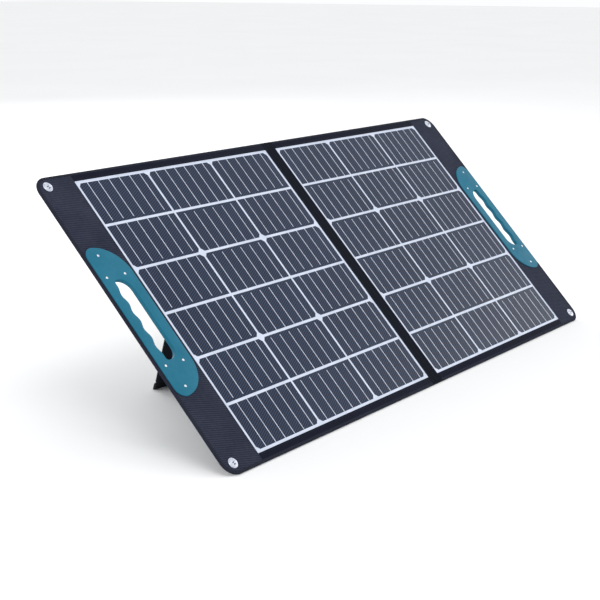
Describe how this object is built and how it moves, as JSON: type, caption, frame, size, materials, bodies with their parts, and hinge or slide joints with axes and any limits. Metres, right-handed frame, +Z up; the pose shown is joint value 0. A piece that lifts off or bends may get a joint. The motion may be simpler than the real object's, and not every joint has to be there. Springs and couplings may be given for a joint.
{
  "type": "folding solar panel",
  "caption": "Portable solar panel that folds in half like a book, with a fabric cover, a moulded carrying handle on each wing and a hinged kickstand behind each half.",
  "frame": {"origin": "on the ground, at the centre of the standing panel's footprint", "axes": "+X to the right seen from the front, +Y to the back, +Z up; the front of the panel faces -Y and up"},
  "size_m": [1.238, 0.403, 0.415],
  "materials": {
    "clear_film": "clear dimpled polymer film",
    "silicon": "dark blue-grey monocrystalline cells under film",
    "ribbon": "tinned flat ribbon",
    "white_backsheet": "white polymer sheet",
    "black_fabric": "coated polyester, fine weave",
    "grey_fabric": "coated Oxford weave",
    "spine_fabric": "soft folding fabric",
    "binding_tape": "woven edge tape",
    "board": "stiff fibre board",
    "teal_plastic": "satin moulded plastic",
    "steel": "nickel-plated",
    "webbing": "woven webbing",
    "foot_rubber": "moulded rubber",
    "box_plastic": "fine spark-eroded moulding",
    "box_rubber": "soft moulded rubber",
    "socket_plastic": "moulded socket",
    "circuit": "circuit board",
    "lamp": "translucent lens",
    "zip_nylon": "coil zip on woven tape"
  },
  "bodies": {
    "left_half": {"left_front_sheet": "clear_film", "left_cells": "silicon", "left_ribbons": "ribbon", "left_string_links": "ribbon", "left_backsheet": "white_backsheet", "left_front_strips": "black_fabric", "left_core_board": "board", "left_back_cover": "black_fabric", "left_wing_front": "grey_fabric", "left_wing_board": "board", "left_wing_back": "grey_fabric", "left_edge_binding": "binding_tape", "left_handle_front": "teal_plastic", "left_handle_back": "teal_plastic", "left_handle_rivets": "steel", "left_leg_hinge_flap": "black_fabric", "left_leg_strap": "webbing", "left_snap_sockets": "steel", "spine_fabric": "spine_fabric", "bridge_leads": "ribbon", "junction_box_base": "box_plastic", "junction_box_cover": "box_plastic", "junction_box_screws": "steel", "junction_box_circuit": "circuit", "usb_sockets": "steel", "dc_socket": "socket_plastic", "status_lamp": "lamp"},
    "right_half": {"right_front_sheet": "clear_film", "right_cells": "silicon", "right_ribbons": "ribbon", "right_string_links": "ribbon", "right_backsheet": "white_backsheet", "right_front_strips": "black_fabric", "right_core_board": "board", "right_back_cover": "black_fabric", "right_wing_front": "grey_fabric", "right_wing_board": "board", "right_wing_back": "grey_fabric", "right_edge_binding": "binding_tape", "right_handle_front": "teal_plastic", "right_handle_back": "teal_plastic", "right_handle_rivets": "steel", "right_leg_hinge_flap": "black_fabric", "right_leg_strap": "webbing", "right_snap_studs": "steel", "pocket": "grey_fabric", "zip_chain": "zip_nylon"},
    "left_leg": {"left_leg_board": "board", "left_leg_cover": "black_fabric", "left_leg_foot": "foot_rubber"},
    "right_leg": {"right_leg_board": "board", "right_leg_cover": "black_fabric", "right_leg_foot": "foot_rubber"},
    "port_cover": {"port_cover": "box_rubber"},
    "zip_slider": {"zip_slider": "steel"}
  },
  "joints": [
    {"name": "fold", "type": "hinge", "parent": "left_half", "child": "right_half", "pos_m": [0, -0.00899, 0.21051], "axis": [0, -0.6858, -0.7278], "range_deg": [0, 180], "deforming": ["spine_fabric", "bridge_leads"]},
    {"name": "left_leg_swing", "type": "hinge", "parent": "left_half", "child": "left_leg", "pos_m": [-0.2755, 0.10669, 0.32203], "axis": [-1, 0, 0], "range_deg": [0, 58], "deforming": ["left_leg_strap"]},
    {"name": "right_leg_swing", "type": "hinge", "parent": "right_half", "child": "right_leg", "pos_m": [0.2755, 0.10669, 0.32203], "axis": [-1, 0, 0], "range_deg": [0, 58], "deforming": ["right_leg_strap"]},
    {"name": "port_cover_flip", "type": "hinge", "parent": "left_half", "child": "port_cover", "pos_m": [-0.423, 0.03773, 0.22845], "axis": [1, 0, 0], "range_deg": [0, 120]},
    {"name": "zip_slide", "type": "slide", "parent": "right_half", "child": "zip_slider", "axis": [1, 0, 0], "range_m": [0, 0.15]}
  ]
}
